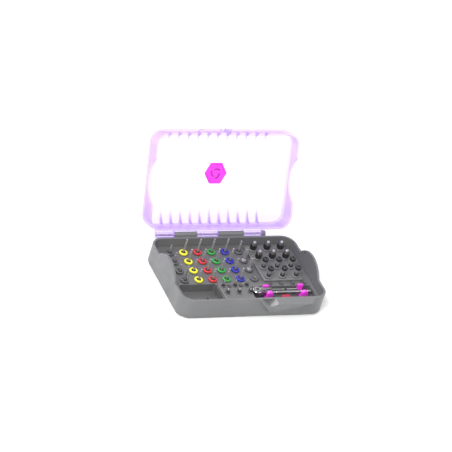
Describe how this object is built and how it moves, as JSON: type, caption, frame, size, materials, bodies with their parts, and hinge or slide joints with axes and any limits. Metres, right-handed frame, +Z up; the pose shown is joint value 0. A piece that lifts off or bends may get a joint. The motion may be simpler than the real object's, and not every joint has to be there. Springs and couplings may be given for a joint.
{
  "type": "instrument cassette with rotary tools and torque wrench",
  "caption": "Hinged plastic instrument cassette, standing open: grey tub, clear violet lid, lift-out tray of colour-ringed drills, small drivers, bits and a beam torque wrench",
  "frame": {"origin": "centre of the flat underside of the grey tub", "axes": "+X along the hinge to the right seen from the front, +Y towards the hinge side, +Z up"},
  "size_m": [0.188, 0.2002, 0.1497],
  "materials": {
    "grey_body": "satin",
    "grey_tray": "matt",
    "violet_clear": "clear polished",
    "magenta_badge": "satin",
    "pin_steel": "drawn",
    "yellow_silicone": "satin",
    "red_silicone": "satin",
    "green_silicone": "satin",
    "blue_silicone": "satin",
    "grey_silicone": "satin",
    "magenta_silicone": "satin",
    "crimson_silicone": "satin",
    "tool_steel": "ground",
    "dark_steel": "black coated",
    "black_anodised": "anodised satin",
    "bright_steel": "polished"
  },
  "bodies": {
    "base": {"base_shell": "grey_body", "hinge_pin": "pin_steel"},
    "lid": {"lid_shell": "violet_clear", "lid_emblem": "magenta_badge"},
    "tray": {"tray_plate": "grey_tray", "driver_block": "grey_tray", "bit_block": "grey_tray", "yellow_grommets": "yellow_silicone", "red_grommets": "red_silicone", "green_grommets": "green_silicone", "blue_grommets": "blue_silicone", "grey_grommets": "grey_silicone", "driver_grommets": "grey_silicone", "bit_grommets": "grey_silicone", "spare_grommets": "grey_silicone", "wrench_clip_left": "magenta_silicone", "wrench_clip_right": "magenta_silicone", "wrench_rest": "crimson_silicone"},
    "torque_wrench": {"wrench_body": "bright_steel", "wrench_beam": "bright_steel", "wrench_pawl": "bright_steel"},
    "ratchet": {"ratchet_wheel": "bright_steel"},
    "drill_yellow_1": {"drill_yellow_1": "tool_steel"},
    "drill_yellow_2": {"drill_yellow_2": "tool_steel"},
    "drill_yellow_3": {"drill_yellow_3": "tool_steel"},
    "drill_yellow_4": {"drill_yellow_4": "tool_steel"},
    "drill_red_1": {"drill_red_1": "tool_steel"},
    "drill_red_2": {"drill_red_2": "tool_steel"},
    "drill_red_3": {"drill_red_3": "tool_steel"},
    "drill_red_4": {"drill_red_4": "tool_steel"},
    "drill_green_1": {"drill_green_1": "tool_steel"},
    "drill_green_2": {"drill_green_2": "tool_steel"},
    "drill_green_3": {"drill_green_3": "tool_steel"},
    "drill_green_4": {"drill_green_4": "tool_steel"},
    "drill_blue_1": {"drill_blue_1": "tool_steel"},
    "drill_blue_2": {"drill_blue_2": "tool_steel"},
    "drill_blue_3": {"drill_blue_3": "tool_steel"},
    "drill_blue_4": {"drill_blue_4": "tool_steel"},
    "pilot_drill_1": {"pilot_drill_1": "dark_steel"},
    "pilot_drill_2": {"pilot_drill_2": "dark_steel"},
    "pilot_drill_3": {"pilot_drill_3": "dark_steel"},
    "pilot_drill_4": {"pilot_drill_4": "dark_steel"},
    "depth_probe": {"depth_probe": "tool_steel"},
    "tissue_punch_1": {"tissue_punch_1": "tool_steel"},
    "tissue_punch_2": {"tissue_punch_2": "tool_steel"},
    "knob_driver_1": {"knob_driver_1": "black_anodised"},
    "knob_driver_2": {"knob_driver_2": "black_anodised"},
    "knob_driver_3": {"knob_driver_3": "black_anodised"},
    "knob_driver_4": {"knob_driver_4": "black_anodised"},
    "knob_driver_5": {"knob_driver_5": "black_anodised"},
    "knob_driver_6": {"knob_driver_6": "black_anodised"},
    "head_driver_7": {"head_driver_7": "black_anodised"},
    "head_driver_8": {"head_driver_8": "black_anodised"},
    "head_driver_9": {"head_driver_9": "black_anodised"},
    "head_driver_10": {"head_driver_10": "black_anodised"},
    "head_driver_11": {"head_driver_11": "black_anodised"},
    "head_driver_12": {"head_driver_12": "black_anodised"},
    "long_bits": {"long_bits": "tool_steel"},
    "short_bits": {"short_bits": "tool_steel"}
  },
  "joints": [
    {"name": "lid_hinge", "type": "hinge", "parent": "base", "child": "lid", "pos_m": [0, 0.0634, 0.0274], "axis": [-1, 0, 0], "range_deg": [-112, 0]},
    {"name": "tray_lift", "type": "slide", "parent": "base", "child": "tray", "axis": [0, 0, 1], "range_m": [0, 0.05]},
    {"name": "wrench_lift", "type": "slide", "parent": "tray", "child": "torque_wrench", "axis": [0, 0, 1], "range_m": [0, 0.03]},
    {"name": "ratchet_turn", "type": "hinge", "parent": "torque_wrench", "child": "ratchet", "pos_m": [0.0136, -0.0306, 0.015], "axis": [0, 0, 1], "continuous": true},
    {"name": "drill_yellow_1_lift", "type": "slide", "parent": "tray", "child": "drill_yellow_1", "axis": [0, 0, 1], "range_m": [0, 0.036]},
    {"name": "drill_yellow_2_lift", "type": "slide", "parent": "tray", "child": "drill_yellow_2", "axis": [0, 0, 1], "range_m": [0, 0.036]},
    {"name": "drill_yellow_3_lift", "type": "slide", "parent": "tray", "child": "drill_yellow_3", "axis": [0, 0, 1], "range_m": [0, 0.036]},
    {"name": "drill_yellow_4_lift", "type": "slide", "parent": "tray", "child": "drill_yellow_4", "axis": [0, 0, 1], "range_m": [0, 0.036]},
    {"name": "drill_red_1_lift", "type": "slide", "parent": "tray", "child": "drill_red_1", "axis": [0, 0, 1], "range_m": [0, 0.036]},
    {"name": "drill_red_2_lift", "type": "slide", "parent": "tray", "child": "drill_red_2", "axis": [0, 0, 1], "range_m": [0, 0.036]},
    {"name": "drill_red_3_lift", "type": "slide", "parent": "tray", "child": "drill_red_3", "axis": [0, 0, 1], "range_m": [0, 0.036]},
    {"name": "drill_red_4_lift", "type": "slide", "parent": "tray", "child": "drill_red_4", "axis": [0, 0, 1], "range_m": [0, 0.036]},
    {"name": "drill_green_1_lift", "type": "slide", "parent": "tray", "child": "drill_green_1", "axis": [0, 0, 1], "range_m": [0, 0.036]},
    {"name": "drill_green_2_lift", "type": "slide", "parent": "tray", "child": "drill_green_2", "axis": [0, 0, 1], "range_m": [0, 0.036]},
    {"name": "drill_green_3_lift", "type": "slide", "parent": "tray", "child": "drill_green_3", "axis": [0, 0, 1], "range_m": [0, 0.036]},
    {"name": "drill_green_4_lift", "type": "slide", "parent": "tray", "child": "drill_green_4", "axis": [0, 0, 1], "range_m": [0, 0.036]},
    {"name": "drill_blue_1_lift", "type": "slide", "parent": "tray", "child": "drill_blue_1", "axis": [0, 0, 1], "range_m": [0, 0.036]},
    {"name": "drill_blue_2_lift", "type": "slide", "parent": "tray", "child": "drill_blue_2", "axis": [0, 0, 1], "range_m": [0, 0.036]},
    {"name": "drill_blue_3_lift", "type": "slide", "parent": "tray", "child": "drill_blue_3", "axis": [0, 0, 1], "range_m": [0, 0.036]},
    {"name": "drill_blue_4_lift", "type": "slide", "parent": "tray", "child": "drill_blue_4", "axis": [0, 0, 1], "range_m": [0, 0.036]},
    {"name": "pilot_drill_1_lift", "type": "slide", "parent": "tray", "child": "pilot_drill_1", "axis": [0, 0, 1], "range_m": [0, 0.036]},
    {"name": "pilot_drill_2_lift", "type": "slide", "parent": "tray", "child": "pilot_drill_2", "axis": [0, 0, 1], "range_m": [0, 0.036]},
    {"name": "pilot_drill_3_lift", "type": "slide", "parent": "tray", "child": "pilot_drill_3", "axis": [0, 0, 1], "range_m": [0, 0.036]},
    {"name": "pilot_drill_4_lift", "type": "slide", "parent": "tray", "child": "pilot_drill_4", "axis": [0, 0, 1], "range_m": [0, 0.036]},
    {"name": "depth_probe_lift", "type": "slide", "parent": "tray", "child": "depth_probe", "axis": [0, 0, 1], "range_m": [0, 0.036]},
    {"name": "tissue_punch_1_lift", "type": "slide", "parent": "tray", "child": "tissue_punch_1", "axis": [0, 0, 1], "range_m": [0, 0.036]},
    {"name": "tissue_punch_2_lift", "type": "slide", "parent": "tray", "child": "tissue_punch_2", "axis": [0, 0, 1], "range_m": [0, 0.036]},
    {"name": "knob_driver_1_lift", "type": "slide", "parent": "tray", "child": "knob_driver_1", "axis": [0, 0, 1], "range_m": [0, 0.03]},
    {"name": "knob_driver_2_lift", "type": "slide", "parent": "tray", "child": "knob_driver_2", "axis": [0, 0, 1], "range_m": [0, 0.03]},
    {"name": "knob_driver_3_lift", "type": "slide", "parent": "tray", "child": "knob_driver_3", "axis": [0, 0, 1], "range_m": [0, 0.03]},
    {"name": "knob_driver_4_lift", "type": "slide", "parent": "tray", "child": "knob_driver_4", "axis": [0, 0, 1], "range_m": [0, 0.03]},
    {"name": "knob_driver_5_lift", "type": "slide", "parent": "tray", "child": "knob_driver_5", "axis": [0, 0, 1], "range_m": [0, 0.03]},
    {"name": "knob_driver_6_lift", "type": "slide", "parent": "tray", "child": "knob_driver_6", "axis": [0, 0, 1], "range_m": [0, 0.03]},
    {"name": "head_driver_7_lift", "type": "slide", "parent": "tray", "child": "head_driver_7", "axis": [0, 0, 1], "range_m": [0, 0.03]},
    {"name": "head_driver_8_lift", "type": "slide", "parent": "tray", "child": "head_driver_8", "axis": [0, 0, 1], "range_m": [0, 0.03]},
    {"name": "head_driver_9_lift", "type": "slide", "parent": "tray", "child": "head_driver_9", "axis": [0, 0, 1], "range_m": [0, 0.03]},
    {"name": "head_driver_10_lift", "type": "slide", "parent": "tray", "child": "head_driver_10", "axis": [0, 0, 1], "range_m": [0, 0.03]},
    {"name": "head_driver_11_lift", "type": "slide", "parent": "tray", "child": "head_driver_11", "axis": [0, 0, 1], "range_m": [0, 0.03]},
    {"name": "head_driver_12_lift", "type": "slide", "parent": "tray", "child": "head_driver_12", "axis": [0, 0, 1], "range_m": [0, 0.03]},
    {"name": "long_bits_lift", "type": "slide", "parent": "tray", "child": "long_bits", "axis": [0, 0, 1], "range_m": [0, 0.02]},
    {"name": "short_bits_lift", "type": "slide", "parent": "tray", "child": "short_bits", "axis": [0, 0, 1], "range_m": [0, 0.02]}
  ]
}
